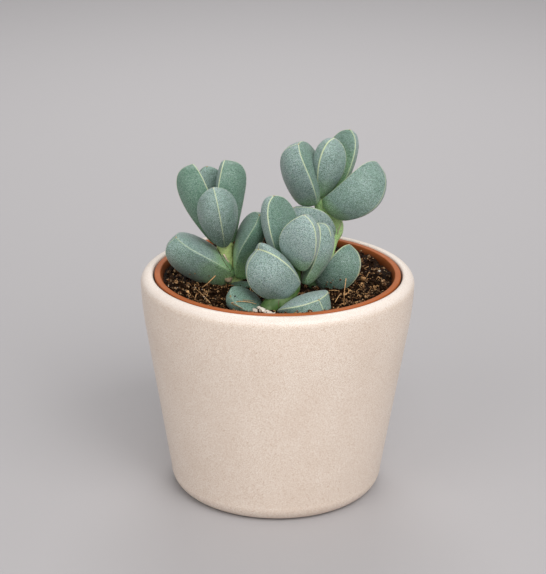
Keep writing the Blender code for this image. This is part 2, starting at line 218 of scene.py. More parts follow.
# A closed profile of (radius, height) in millimetres turned about the pot's axis
def turnedMesh(name, profile, steps):
    mesh = bpy.data.meshes.new(name)
    mesh.from_pydata([(radius * mm, 0.0, height * mm) for radius, height in profile],
                     [(i, i + 1) for i in range(len(profile) - 1)], [])
    blank = bpy.data.objects.new(name, mesh)
    bpy.context.scene.collection.objects.link(blank)
    spin = blank.modifiers.new("turn", "SCREW")
    spin.steps = spin.render_steps = steps
    spin.use_merge_vertices = True
    spin.merge_threshold = 0.02 * mm
    done = settledMesh(blank)
    bpy.data.objects.remove(blank)
    shape = bmesh.new()
    shape.from_mesh(done)
    bmesh.ops.recalc_face_normals(shape, faces=shape.faces)
    shape.to_mesh(done)
    shape.free()
    done.shade_smooth()
    done.set_sharp_from_angle(angle=math.radians(50))
    return done


def arc(centre, radii, start, end, count):
    angles = [math.radians(start + (end - start) * i / (count - 1)) for i in range(count)]
    return [(centre[0] + radii[0] * math.cos(a), centre[1] + radii[1] * math.sin(a)) for a in angles]


def potRadius(values, height):
    return (values["baseRadius"] + values["flare"] * height
            - values["tuck"] * max(0.0, height - values["tuckStart"]) ** 2)


def buildCoverPot(values):
    width, drop, inside, top = values["lipWidth"], values["lipDrop"], values["lipInner"], values["height"]
    brow = potRadius(values, top - drop)
    inner = brow - values["wall"]
    floorRadius = potRadius(values, values["floor"]) - values["wall"]
    foot = potRadius(values, values["footHeight"])
    rounding = values["floorRound"]
    profile = [(0.0, values["floor"]), (floorRadius - rounding, values["floor"])]
    profile += [(floorRadius, values["floor"] + rounding)]
    profile += [(inner - values["wallLean"], top - values["wallTop"])]
    profile += arc((inner + inside, top - inside), (inside, inside), 180, 90, 10)
    profile += arc((brow - width, top - drop), (width, drop), 90, 0, 20)
    outside = np.linspace(top - drop - values["lipGap"], values["footHeight"] + values["footGap"], 40)
    profile += [(potRadius(values, z), z) for z in outside]
    profile += arc((foot - values["footWidth"], values["footHeight"]),
                   (values["footWidth"], values["footHeight"]), 0, -90, 14)
    profile += [(values["ringInner"], 0.0), (values["ringInner"] - values["ringSlope"], values["ringDepth"])]
    profile += [(0.0, values["ringDepth"])]
    mesh = turnedMesh("stoneware_pot", profile, values["steps"])
    keepPiece(newPiece("stoneware_pot", mesh, stonewareMaterial(values)), "stoneware", "cover_pot")


buildCoverPot(coverPot)
print("cover pot turned")


# Grower's pot: injection moulded polypropylene, terracotta coloured

growerPot = {    # millimetres
    "top": 78.6, "bottom": 6.3, "rimRadius": 42.7, "rimWidth": 1.9, "rimRound": 0.45,
    "mouth": 39.0, "mouthDrop": 3.6, "skirt": 9.0, "skirtWall": 1.0, "skirtIn": 0.4,
    "foot": 31.0, "footBevel": 1.0, "wall": 0.9, "steps": 192,
    "colour": "#B4602B", "scuffed": "#C47B4F", "scuffShare": 0.35,
    # a soil stain and painted shade: the colour darkens from the rim down into the pot
    "stainAndShade": "#4A1F04", "stainShadeTop": 79.0, "stainShadeFull": 76.4, "stainShadeShare": 0.9,
    "mottleMm": 3.0, "grainMm": 0.5, "reliefMm": 0.02,
}


# Moulded polypropylene: satin, evenly coloured, a little chalky where it is scuffed, inside soil stained and
# painted darker for the shade that falls there
def growerMaterial(values):
    material, tree = newMaterial("terracotta polypropylene")
    point = addNode(tree, "TexCoord", {}, "Object")
    mottle = addNode(tree, "TexNoise", {"Vector": point, "Scale": 1 / (values["mottleMm"] * mm),
                                        "Detail": 3.0}, "Fac")
    grain = addNode(tree, "TexNoise", {"Vector": point, "Scale": 1 / (values["grainMm"] * mm)}, "Fac")
    scuffs = addNode(tree, "MapRange", {"Value": mottle, "From Min": 0.5, "From Max": 0.8,
                                        "To Max": values["scuffShare"]})
    tone = addNode(tree, "Mix", {"data_type": "RGBA", 0: scuffs, 6: values["colour"],
                                 7: values["scuffed"]}, 2)
    height = addNode(tree, "SeparateXYZ", {"Vector": point}, "Z")
    # painted shade with a real soil stain: darker below the rim, down inside the pot
    stainShade = addNode(tree, "MapRange", {"Value": height, "From Min": values["stainShadeTop"] * mm,
                                       "From Max": values["stainShadeFull"] * mm,
                                       "To Max": values["stainShadeShare"]})
    tone = addNode(tree, "Mix", {"data_type": "RGBA", 0: stainShade, 6: tone, 7: values["stainAndShade"]}, 2)
    relief = addNode(tree, "Bump", {"Height": grain, "Distance": values["reliefMm"] * mm, "Strength": 0.5})
    shader = addNode(tree, "BsdfPrincipled", {"Base Color": tone, "Roughness": 0.5, "IOR": 1.49,
                                              "Specular IOR Level": 0.25, "Normal": relief})
    addNode(tree, "OutputMaterial", {"Surface": shader})
    return material


# Inside radius in millimetres: the mouth flares, the wall below tapers to the foot
def growerInside(values, height):
    neck = values["top"] - values["mouthDrop"]
    if height > neck:
        lipInside = values["rimRadius"] - values["rimWidth"]
        return values["mouth"] + (lipInside - values["mouth"]) * (height - neck) / values["mouthDrop"]
    foot = values["foot"] - values["wall"]
    return foot + (values["mouth"] - foot) * (height - values["bottom"]) / (neck - values["bottom"])


def buildGrowerPot(values):
    top, rim, wall, soft = values["top"], values["rimRadius"], values["wall"], values["rimRound"]
    floor, hem = values["bottom"] + wall, top - values["skirt"]
    inner = growerInside(values, top - soft)
    profile = [(0.0, floor)]
    profile += [(growerInside(values, z), z) for z in (floor, top - values["mouthDrop"])]
    profile += arc((inner + soft, top - soft), (soft, soft), 180, 90, 8)
    profile += arc((rim - soft, top - soft), (soft, soft), 90, 0, 8)
    profile += [(rim - values["skirtIn"], hem), (rim - values["skirtIn"] - values["skirtWall"], hem)]
    profile += [(rim - values["skirtWall"], top - values["rimWidth"])]
    profile += [(growerInside(values, z) + wall, z)
                for z in (top - values["rimWidth"], top - values["mouthDrop"])]
    foot, bottom, bevel = values["foot"], values["bottom"], values["footBevel"]
    profile += [(foot, bottom + bevel), (foot - bevel, bottom), (0.0, bottom)]
    mesh = turnedMesh("plastic_pot", profile, values["steps"])
    keepPiece(newPiece("plastic_pot", mesh, growerMaterial(values)), "terracotta_plastic", "grower_pot")


buildGrowerPot(growerPot)
print("grower's pot turned")


# Leaves: thick keeled wedges of three swollen faces, in pairs that cross each other

leafRings = (0.0, 0.17, 0.38, 0.60, 0.80, 0.945)    # shares of the length
leafSkin = {
    # how the cage swells: fullness of the outer faces, how far they and the inner one bulge towards the tip,
    # how much the inner one puffs, how much fuller the keel is at the neck, how the root and the tip close
    "fullness": 0.74, "sidePush": 0.7, "crownPush": 0.3, "puffGain": 1.5, "keelNeck": 0.07,
    "rootDrop": 0.2, "tipPower": 2.3,
    # how often it is subdivided, and how sharp the creases along its lines and its short line are
    "level": 4, "creaseShare": 0.55, "spurShare": 0.02,
    # how far the green and the pale lines reach, and how raggedly they end
    "greenReach": 1.05, "greenPatch": 0.25, "lineReach": 0.55, "linePatch": 0.3,
    # the old and young greens are partly painted shade near the stem and partly painted glow through the leaf
    "wax": "#94ABA6", "flesh": "#588067", "oldGreenAndShade": "#35523E", "youngGreenAndGlow": "#A6DC7E", "line": "#C9D3A9",
    "darkDot": "#2D4839", "paleDot": "#C4CFCB", "tip": "#98783F",
    "lineMm": 0.18, "tipMm": 0.5, "dotMm": 0.23, "fleckMm": 0.8, "cloudMm": 5.0, "reliefMm": 0.07,
    "roughness": 0.5,
}
# How each leaf has fared: wax on its outer and inner faces, how well its pale lines show, how far in
# millimetres green comes up from its base, and how young that green is. That green is partly painted light
# and shade: old green is darker for the shade near the stem, young green paler for the glow through the leaf.
# Where they are given, wide widens its lines, and spur is the column of its cage that carries a short line
# from the tip.
leafWear = {
    "left_leaf_front": dict(wax=0.85, inner=0.8, lines=0.75, green=20.0, youngGreenAndGlow=0.0),
    "left_leaf_low_right": dict(wax=0.1, inner=0.35, lines=0.35, green=16.0, youngGreenAndGlow=1.0),
    "left_leaf_low_left": dict(wax=0.6, inner=0.9, lines=0.4, green=15.0, youngGreenAndGlow=0.85),
    "left_leaf_left": dict(wax=0.15, inner=0.7, lines=1.0, green=14.0, youngGreenAndGlow=0.2),
    "left_leaf_right": dict(wax=0.2, inner=0.7, lines=1.0, green=14.0, youngGreenAndGlow=0.2),
    "left_leaf_back": dict(wax=0.4, inner=0.75, lines=0.1, green=10.0, youngGreenAndGlow=0.3),
    "centre_leaf_front": dict(wax=0.9, inner=1.0, lines=1.0, green=1.5, youngGreenAndGlow=0.4, spur=5, wide=1.3),
    "centre_leaf_middle": dict(wax=1.1, inner=1.0, lines=1.0, green=7.0, youngGreenAndGlow=0.5),
    "centre_leaf_right": dict(wax=0.85, inner=0.7, lines=0.9, green=12.0, youngGreenAndGlow=0.3, wide=1.6, spur=3),
    "centre_leaf_top": dict(wax=1.1, inner=0.3, lines=1.0, green=12.0, youngGreenAndGlow=0.6),
    "right_leaf_front": dict(wax=0.78, inner=0.9, lines=0.9, green=8.0, youngGreenAndGlow=0.5, wide=1.5),
    "right_leaf_left": dict(wax=0.95, inner=0.4, lines=0.8, green=7.0, youngGreenAndGlow=0.55),
    "right_leaf_right": dict(wax=0.55, inner=0.9, lines=0.8, green=5.0, youngGreenAndGlow=0.5),
    "right_leaf_back": dict(wax=0.9, inner=0.4, lines=0.8, green=20.0, youngGreenAndGlow=0.7),
    "right_leaf_low_left": dict(wax=1.1, inner=1.1, lines=0.7, green=4.0, youngGreenAndGlow=0.2),
    "ground_leaf_left": dict(wax=0.25, inner=0.3, lines=0.15, green=6.0, youngGreenAndGlow=0.0),
    "ground_leaf_front": dict(wax=0.5, inner=1.15, lines=0.9, green=4.0, youngGreenAndGlow=0.2),
    "ground_leaf_right": dict(wax=0.4, inner=0.5, lines=0.95, green=9.0, youngGreenAndGlow=0.0, wide=2.0),
    "ground_leaf_back": dict(wax=0.1, inner=0.1, lines=0.0, green=9.0, youngGreenAndGlow=0.0),
}
# Base, length, half width, depth and arch in millimetres, the angles in degrees, the rest in shares. Most of
# these are rounded results of fitting each leaf's outline, the same as in the solids.
leafShapes = {
    "left_leaf_front": dict(at=(-18.9, 1.4, 88.1), heading=-118, rise=73, turn=38,
                            length=23.2, half=7.4, depth=8.3, arch=0.3, neck=0.36),
    "left_leaf_low_right": dict(at=(-14.4, 4.5, 76.9), heading=-51, rise=62, turn=55,
                                length=27.1, half=7.3, depth=8.3, arch=3.6, widest=0.53, neck=0.77,
                                puff=0.11),
    "left_leaf_low_left": dict(at=(-15.2, 4.5, 78.3), heading=-155, rise=33, turn=-14,
                               length=25.9, half=8.4, depth=12.8, arch=1.4, widest=0.48, neck=0.74,
                               chin=0.12),
    "left_leaf_left": dict(at=(-19.5, 3.9, 87.9), heading=162, rise=69, turn=35,
                           length=29.1, half=7.5, depth=9.4, arch=0.7, widest=0.69, neck=0.28,
                           chin=0.07),
    "left_leaf_right": dict(at=(-17.8, 3.9, 87.6), heading=101, rise=82, turn=-103,
                            length=29.0, half=7.8, depth=9.7, arch=2.5, widest=0.74, neck=0.26,
                            chin=0.03, puff=0.16, brow=0.05),
    "left_leaf_back": dict(at=(-19.2, 7.0, 87.6), heading=134, rise=72, turn=-25,
                           length=26.3, half=6.6, depth=7.0, arch=0.0),
    "centre_leaf_front": dict(at=(5.7, -17.0, 79.4), heading=-167, rise=48, turn=21,
                              length=18.8, half=10.0, depth=12.4, arch=0.6, widest=0.53, neck=0.54,
                              chin=0.08, puff=0.39, brow=0.22),
    "centre_leaf_middle": dict(at=(6.5, -16.0, 86.3), heading=-66, rise=76, turn=11,
                               length=20.1, half=6.9, depth=12.5, arch=3.7, widest=0.48, neck=0.31,
                               chin=0.05),
    "centre_leaf_right": dict(at=(8.0, -15.3, 79.7), heading=56, rise=65, turn=-44,
                              length=21.2, half=7.3, depth=7.6, arch=-0.9, widest=0.61, neck=0.33,
                              chin=0.14),
    "centre_leaf_top": dict(at=(3.9, -9.0, 84.0), heading=165, rise=77, turn=-25,
                            length=25.0, half=7.6, depth=8.8, arch=1.8, neck=0.49, chin=0.05),
    "right_leaf_front": dict(at=(15.5, 16.0, 101.1), heading=-16, rise=79, turn=-106,
                             length=21.9, half=6.4, depth=8.9, arch=0.8, widest=0.62, neck=0.22,
                             chin=0.04),
    "right_leaf_left": dict(at=(14.6, 18.0, 99.2), heading=-143, rise=66, turn=-47,
                            length=23.9, half=9.1, depth=12.6, arch=2.5, widest=0.45, neck=0.61,
                            chin=0.04),
    "right_leaf_right": dict(at=(16.6, 17.5, 96.9), heading=1, rise=43, turn=-45,
                             length=24.2, half=9.9, depth=11.4, arch=-2.8, widest=0.55, neck=0.61,
                             chin=0.07),
    "right_leaf_back": dict(at=(17.2, 19.0, 99.2), heading=16, rise=72, turn=31,
                            length=26.0, half=6.7, depth=7.5, arch=1.4, chin=0.03),
    "right_leaf_low_left": dict(at=(18.9, 16.9, 86.1), heading=-165, rise=40, turn=24,
                                length=18.0, half=7.4, depth=8.4, arch=3.1, neck=0.62, puff=0.15),
    "ground_leaf_left": dict(at=(-5.2, -18.3, 73.8), heading=-146, rise=21, turn=-32,
                             length=13.7, half=5.9, depth=6.1, arch=0.2, chin=0.07),
    "ground_leaf_front": dict(at=(3.0, -17.8, 71.8), heading=-47, rise=25, turn=6,
                              length=17.3, half=9.6, depth=12.0, arch=1.6, widest=0.62, neck=0.56,
                              chin=0.09, puff=0.16),
    "ground_leaf_right": dict(at=(14.2, 0.1, 73.9), heading=3, rise=54, turn=-40,
                              length=18.1, half=7.4, depth=9.5, arch=-0.8, neck=0.62),
    "ground_leaf_back": dict(at=(-16.0, -0.2, 74.2), heading=-26, rise=3, turn=0,
                             length=8.5, half=3.0, depth=3.2, arch=0.3),
}


# How wide the leaf is at a share of its length: it swells from the neck and rounds off at the tip
def swelling(along, widest, neck):
    if along < widest:
        return neck + (1 - neck) * math.sin(math.pi / 2 * along / widest)
    return math.sqrt(max(0.0, 1 - ((along - widest) / (1 - widest)) ** leafSkin["tipPower"]))


# Rings of six points: margin, outer face, keel, outer face, margin, inner face; then the tip and the root
def leafCage(at, heading, rise, turn, length, half, depth, arch, widest=0.56, neck=0.55, chin=0.06,
             puff=0.13, brow=0.0):
    swing = Matrix.Rotation(math.radians(heading), 3, "Z") @ Matrix.Rotation(math.radians(-rise), 3, "Y")
    axis = swing @ Vector((1, 0, 0))
    inner = Matrix.Rotation(math.radians(turn), 3, axis) @ swing @ Vector((0, 0, 1))
    across = axis.cross(inner)
    base = Vector(at)
    points = []
    for along in leafRings:
        middle = base + axis * (length * along) + inner * (arch * 4 * along * (1 - along))
        width = half * swelling(along, widest, neck)
        keel = depth * swelling(along, widest, neck + leafSkin["keelNeck"])
        push = axis * (length * chin * along ** 2)
        side = across * (width * leafSkin["fullness"])
        back = inner * (keel * leafSkin["fullness"])
        sidePush = push * leafSkin["sidePush"]
        points += [middle - across * width, middle - side - back + sidePush]
        points += [middle - inner * keel + push, middle + side - back + sidePush]
        crown = axis * (length * (leafSkin["crownPush"] * chin + brow) * along ** 2)
        swell = inner * (width * puff * leafSkin["puffGain"])
        points += [middle + across * width, middle + swell + crown]
    points += [base + axis * length, base - inner * (depth * leafSkin["rootDrop"])]
    return [point * mm for point in points], axis, base * mm


# The smoothed leaf. Each point keeps what its skin needs: wax, green from the base, nearness to a pale line
# and to the tip.
def leafMesh(name, shape, wear, values):
    points, axis, base = leafCage(**shape)
    around, rings = 6, len(leafRings)
    tip, root = rings * around, rings * around + 1
    faces, isInner = [], []
    for column in range(around):
        after = (column + 1) % around
        for ring in range(rings - 1):
            low, high = ring * around, (ring + 1) * around
            faces.append((low + after, low + column, high + column, high + after))
        last = (rings - 1) * around
        faces += [(last + after, last + column, tip), (column, after, root)]
        isInner += [column >= 4] * (rings + 1)    # columns 4 and 5 are the inner face
    mesh = bpy.data.meshes.new(name)
    mesh.from_pydata(points, [], faces)
    # A faint crease marks a line too: some leaves have a short spur of it from the tip down a face's middle
    crease = mesh.attributes.new("crease_edge", "FLOAT", "EDGE")
    for edge in mesh.edges:
        first, second = sorted(edge.vertices)
        isAlong = first < tip and (second == tip or second - first == around)
        isLine = isAlong and first % 2 == 0
        isSpur = isAlong and first % around == wear.get("spur") and first >= tip - 2 * around
        share = values["creaseShare"] if isLine else values["spurShare"] if isSpur else 0.0
        crease.data[edge.index].value = share
    waxes = [wear["inner"] if inner else wear["wax"] for inner in isInner]
    mesh.attributes.new("faceWax", "FLOAT", "FACE").data.foreach_set("value", waxes)
    blank = bpy.data.objects.new(name, mesh)
    bpy.context.scene.collection.objects.link(blank)
    smooth = blank.modifiers.new("smooth", "SUBSURF")
    smooth.levels = smooth.render_levels = values["level"]
    fine = settledMesh(blank)
    bpy.data.objects.remove(blank)
    creases = fine.attributes["crease_edge"].data
    marked = [edge.vertices for edge in fine.edges if creases[edge.index].value > 0]
    tree = kdtree.KDTree(3 * len(marked))
    for i, (first, second) in enumerate(marked):
        start, end = fine.vertices[first].co, fine.vertices[second].co
        for step in range(3):
            tree.insert(start.lerp(end, step / 3), 3 * i + step)
    tree.balance()
    lineMm, greenShare, lineShow, tipMm = [], [], [], []
    for vertex in fine.vertices:
        along = (vertex.co - base).dot(axis) / mm
        patch = noise.noise(vertex.co / (values["cloudMm"] * mm))
        lineMm.append(tree.find(vertex.co)[2] / mm / wear.get("wide", 1.0))
        greenness = values["greenReach"] - along / wear["green"] + values["greenPatch"] * patch
        greenShare.append(max(0.0, min(1.0, greenness)))
        showing = along / (values["lineReach"] * shape["length"]) + values["linePatch"] * patch
        lineShow.append(wear["lines"] * min(1.0, max(0.0, showing)))
        tipMm.append((vertex.co - points[tip]).length / mm)
    for label, numbers in (("lineMm", lineMm), ("greenShare", greenShare), ("lineShow", lineShow),
                           ("tipMm", tipMm), ("youngGreenAndGlow", [wear["youngGreenAndGlow"]] * len(fine.vertices))):
        fine.attributes.new(label, "FLOAT", "POINT").data.foreach_set("value", numbers)
    fine.shade_smooth()
    return fine


# Succulent skin: a waxy blue-grey bloom over green flesh, dotted dark and pale all over, worn to bare green
# low down, with pale lines where the faces meet. That green is partly painted light and shade: darker on old
# leaves for the shade near the stem, paler on young ones for the glow of light through the leaf. The real
# dots are about 0.1 mm; they are drawn as coarse as they must be to show.
def leafMaterial(values):
    material, tree = newMaterial("waxy leaf skin")
    point = addNode(tree, "TexCoord", {}, "Object")
    dots = addNode(tree, "TexNoise", {"Vector": point, "Scale": 1 / (values["dotMm"] * mm), "Detail": 1.0,
                                      "Roughness": 0.7}, "Fac")
    flecks = addNode(tree, "TexNoise", {"Vector": point, "Scale": 1 / (values["fleckMm"] * mm), "Detail": 2.0,
                                        "Roughness": 0.6}, "Fac")
    cloud = addNode(tree, "TexNoise", {"Vector": point, "Scale": 1 / (values["cloudMm"] * mm),
                                       "Detail": 2.0}, "Fac")
    kept = {label: addNode(tree, "Attribute", {"attribute_name": label}, "Fac")
            for label in ("faceWax", "greenShare", "lineMm", "lineShow", "tipMm", "youngGreenAndGlow")}
    worn = addNode(tree, "MapRange", {"Value": cloud, "From Min": 0.3, "From Max": 0.7, "To Min": 0.78,
                                      "To Max": 1.15})
    waxShare = addNode(tree, "Math", {"operation": "MULTIPLY", "use_clamp": True,
                                      0: kept["faceWax"], 1: worn})
    darkShare = addNode(tree, "MapRange", {"Value": dots, "From Min": 0.49, "From Max": 0.33, "To Max": 0.95})
    fleckShare = addNode(tree, "MapRange", {"Value": flecks, "From Min": 0.45, "From Max": 0.34,
                                            "To Max": 0.3})
    paleShare = addNode(tree, "MapRange", {"Value": dots, "From Min": 0.53, "From Max": 0.67, "To Max": 0.75})
    waxDust = addNode(tree, "MapRange", {"Value": waxShare, "To Min": 0.45})
    palest = addNode(tree, "Math", {"operation": "MULTIPLY", 0: paleShare, 1: waxDust})
    edge = addNode(tree, "MapRange", {"interpolation_type": "SMOOTHSTEP", "Value": kept["lineMm"],
                                      "From Min": values["lineMm"] * 1.5, "From Max": values["lineMm"] * 0.3})
    lineShare = addNode(tree, "Math", {"operation": "MULTIPLY", 0: edge, 1: kept["lineShow"]})
    tipShare = addNode(tree, "MapRange", {"Value": kept["tipMm"], "From Min": values["tipMm"],
                                          "From Max": values["tipMm"] * 0.4})
    # the base green with painted light and shade: old darker for the shade near the stem, young paler for
    # glow
    green = addNode(tree, "Mix", {"data_type": "RGBA", 0: kept["youngGreenAndGlow"], 6: values["oldGreenAndShade"],
                                  7: values["youngGreenAndGlow"]}, 2)
    tone = addNode(tree, "Mix", {"data_type": "RGBA", 0: waxShare, 6: values["flesh"], 7: values["wax"]}, 2)
    tone = addNode(tree, "Mix", {"data_type": "RGBA", 0: kept["greenShare"], 6: tone, 7: green}, 2)
    for share, colour in ((fleckShare, "darkDot"), (darkShare, "darkDot"), (palest, "paleDot"),
                          (lineShare, "line"), (tipShare, "tip")):
        tone = addNode(tree, "Mix", {"data_type": "RGBA", 0: share, 6: tone, 7: values[colour]}, 2)
    relief = addNode(tree, "Bump", {"Height": dots, "Distance": values["reliefMm"] * mm, "Strength": 0.6})
    shader = addNode(tree, "BsdfPrincipled", {
        "Base Color": tone, "Roughness": values["roughness"], "IOR": 1.42, "Normal": relief,
        "Subsurface Weight": 0.12, "Subsurface Radius": (0.4, 1.0, 0.3), "Subsurface Scale": 1.2 * mm,
        "Sheen Weight": 0.12, "Sheen Roughness": 0.5})
    addNode(tree, "OutputMaterial", {"Surface": shader})
    return material


def buildLeaves(shapes, wears, values):
    material = leafMaterial(values)
    for name, shape in shapes.items():
        skin = newPiece(name + "_skin", leafMesh(name + "_skin", shape, wears[name], values), material)
        keepPiece(skin, "leaf", name)


buildLeaves(leafShapes, leafWear, leafSkin)
print("leaves grown:", len(leafShapes))


# Stems: fleshy and pale green

stemSkin = {"pale": "#CBD9A8", "dark": "#3F5A33", "cloudMm": 4.0, "dotMm": 0.45, "reliefMm": 0.05}
# each stem's green is partly its own colour and partly painted light and shade: the centre stem painted dark
# for the shade it stands in, the right stem pale for the light on it
stemTonesLitAndShaded = {"left_stem": "#BFD08A", "centre_stem": "#44632C",
             "right_stem": "#C6EAA0", "side_stem": "#45653A"}
# points of (x, y, z, radius) in millimetres
stemShapes = {
    "left_stem": [(-15.4, 4.0, 67.5, 3.6), (-15.4, 4.0, 75.0, 4.2), (-16.4, 4.0, 78.5, 3.7),
                  (-17.7, 4.0, 82.0, 3.0), (-18.3, 4.0, 86.5, 3.0), (-19.0, 4.0, 92.0, 1.6)],
    "centre_stem": [(-3.6, -21.7, 66.0, 3.7), (-2.9, -21.9, 71.5, 3.8), (-0.6, -21.4, 75.0, 3.3),
                    (2.8, -19.8, 76.9, 2.6), (5.1, -17.8, 78.4, 2.3), (5.7, -15.8, 81.2, 2.0),
                    (6.0, -14.0, 86.0, 1.7)],
    "right_stem": [(17.0, 15.8, 67.5, 2.5), (17.2, 16.0, 76.5, 2.4), (19.2, 18.0, 83.8, 2.1),
                   (21.2, 18.6, 88.4, 2.1), (19.6, 18.5, 91.8, 2.6), (16.1, 18.5, 95.2, 2.9),
                   (15.0, 18.3, 99.8, 2.1), (15.8, 17.8, 103.5, 1.4)],
    "side_stem": [(12.9, -0.9, 67.5, 2.6), (13.2, -0.5, 73.0, 2.6), (14.8, 0.4, 77.0, 1.6)],
}


# Fleshy stem: smooth and moist looking, clouded with paler sheath and dotted dark, over each stem's tone,
# which is partly painted light and shade
def stemMaterial(values):
    material, tree = newMaterial("fleshy stem skin")
    point = addNode(tree, "TexCoord", {}, "Object")
    cloud = addNode(tree, "TexNoise", {"Vector": point, "Scale": 1 / (values["cloudMm"] * mm),
                                       "Detail": 3.0}, "Fac")
    dots = addNode(tree, "TexNoise", {"Vector": point, "Scale": 1 / (values["dotMm"] * mm)}, "Fac")
    # each stem's tone, partly painted light and shade
    own = addNode(tree, "Attribute", {"attribute_name": "stemToneLitAndShaded"}, "Color")
    paleShare = addNode(tree, "MapRange", {"Value": cloud, "From Min": 0.5, "From Max": 0.8, "To Max": 0.3})
    darkShare = addNode(tree, "MapRange", {"Value": dots, "From Min": 0.48, "From Max": 0.3, "To Max": 0.5})
    tone = addNode(tree, "Mix", {"data_type": "RGBA", 0: paleShare, 6: own, 7: values["pale"]}, 2)
    tone = addNode(tree, "Mix", {"data_type": "RGBA", 0: darkShare, 6: tone, 7: values["dark"]}, 2)
    relief = addNode(tree, "Bump", {"Height": dots, "Distance": values["reliefMm"] * mm, "Strength": 0.5})
    shader = addNode(tree, "BsdfPrincipled", {
        "Base Color": tone, "Roughness": 0.45, "IOR": 1.42, "Normal": relief, "Subsurface Weight": 0.15,
        "Subsurface Radius": (0.5, 1.0, 0.3), "Subsurface Scale": 1.2 * mm})
    addNode(tree, "OutputMaterial", {"Surface": shader})
    return material


# A closed tube through the points
def stemMesh(name, points):
    curve = bpy.data.curves.new(name, "CURVE")
    curve.dimensions = "3D"
    curve.resolution_u = 8
    curve.bevel_depth = mm
    curve.bevel_resolution = 6
    curve.use_fill_caps = True
    spline = curve.splines.new("BEZIER")
    spline.bezier_points.add(len(points) - 1)
    for knot, (x, y, z, radius) in zip(spline.bezier_points, points):
        knot.co = (x * mm, y * mm, z * mm)
        knot.radius = radius
        knot.handle_left_type = knot.handle_right_type = "AUTO"
    guide = bpy.data.objects.new(name, curve)
    bpy.context.scene.collection.objects.link(guide)
    mesh = settledMesh(guide)
    bpy.data.objects.remove(guide)
    shape = bmesh.new()
    shape.from_mesh(mesh)
    bmesh.ops.remove_doubles(shape, verts=shape.verts, dist=0.01 * mm)
    shape.to_mesh(mesh)
    shape.free()
    mesh.shade_smooth()
    return mesh


def buildStems(shapes, tones, values):
    material = stemMaterial(values)
    for name, points in shapes.items():
        mesh = stemMesh(name + "_skin", points)
        mesh.attributes.new("stemToneLitAndShaded", "FLOAT_COLOR", "POINT").data.foreach_set(
            "color", hexToLinear(tones[name]) * len(mesh.vertices))
        keepPiece(newPiece(name + "_skin", mesh, material), "stem", name)


buildStems(stemShapes, stemTonesLitAndShaded, stemSkin)
print("stems grown:", len(stemShapes))


# Soil: peat with crumbs, coir fibres and perlite

soilMix = {
    # millimetres; tilt is the height gained per millimetre towards the back
    "level": 74.0, "radius": 39.6, "bank": 2.2, "bankStart": 30.0, "bankWidth": 8.0, "tilt": 0.022,
    "clodMm": 7.0, "clodHeight": 1.3, "crumbMm": 2.0, "crumbHeight": 0.7, "stepMm": 0.5, "around": 360,
    "skirtMm": 6.0, "skirtShare": 0.985, "seed": 7,
    # shapes say how flat, how proud of the soil and how finely cut, and the more gloom, the fewer pale ones
    "crumbs": 2000, "crumbSizes": (0.5, 1.7), "crumbShape": (0.8, 0.2, 2), "crumbGloom": 3.6,
    "flakes": 3000, "flakeSizes": (0.3, 0.85), "flakeShape": (0.6, 0.9, 1), "flakeGloom": 1.4,
    "grains": 110, "grainSizes": (0.25, 0.6), "grainShape": (0.85, 0.6, 2), "grainGloom": 0.7,
    "bitShape": (0.8, 2), "huskShape": (0.65, 3), "stoneShape": (0.7, 3),
    "rimGap": 0.8, "dent": 0.55, "dentWidth": 0.45,    # dents as shares of the size of a lump
    "curls": 600, "curlSizes": (0.7, 3.0), "curlSpans": 7, "curlSides": 5, "strawSides": 7,
    "curlBend": 0.55, "curlWobble": 0.2,
    "curlLift": (0.1, 0.9), "curlClear": 0.25, "curlRadius": (0.07, 0.17), "curlGap": 3.0,
    "hollowShade": "#090402", "peat": "#2C1A0C", "brown": "#5E3921", "pale": "#FAD3A2",
    "crumbleMm": 0.7, "reliefMm": 0.5,
    "fibre": "#E4B27A", "fibreDark": "#6A3F1E", "fibreMm": 0.8,
    "perlite": "#E6DDCF", "perliteDark": "#8F7C62", "poreMm": 0.5,
}
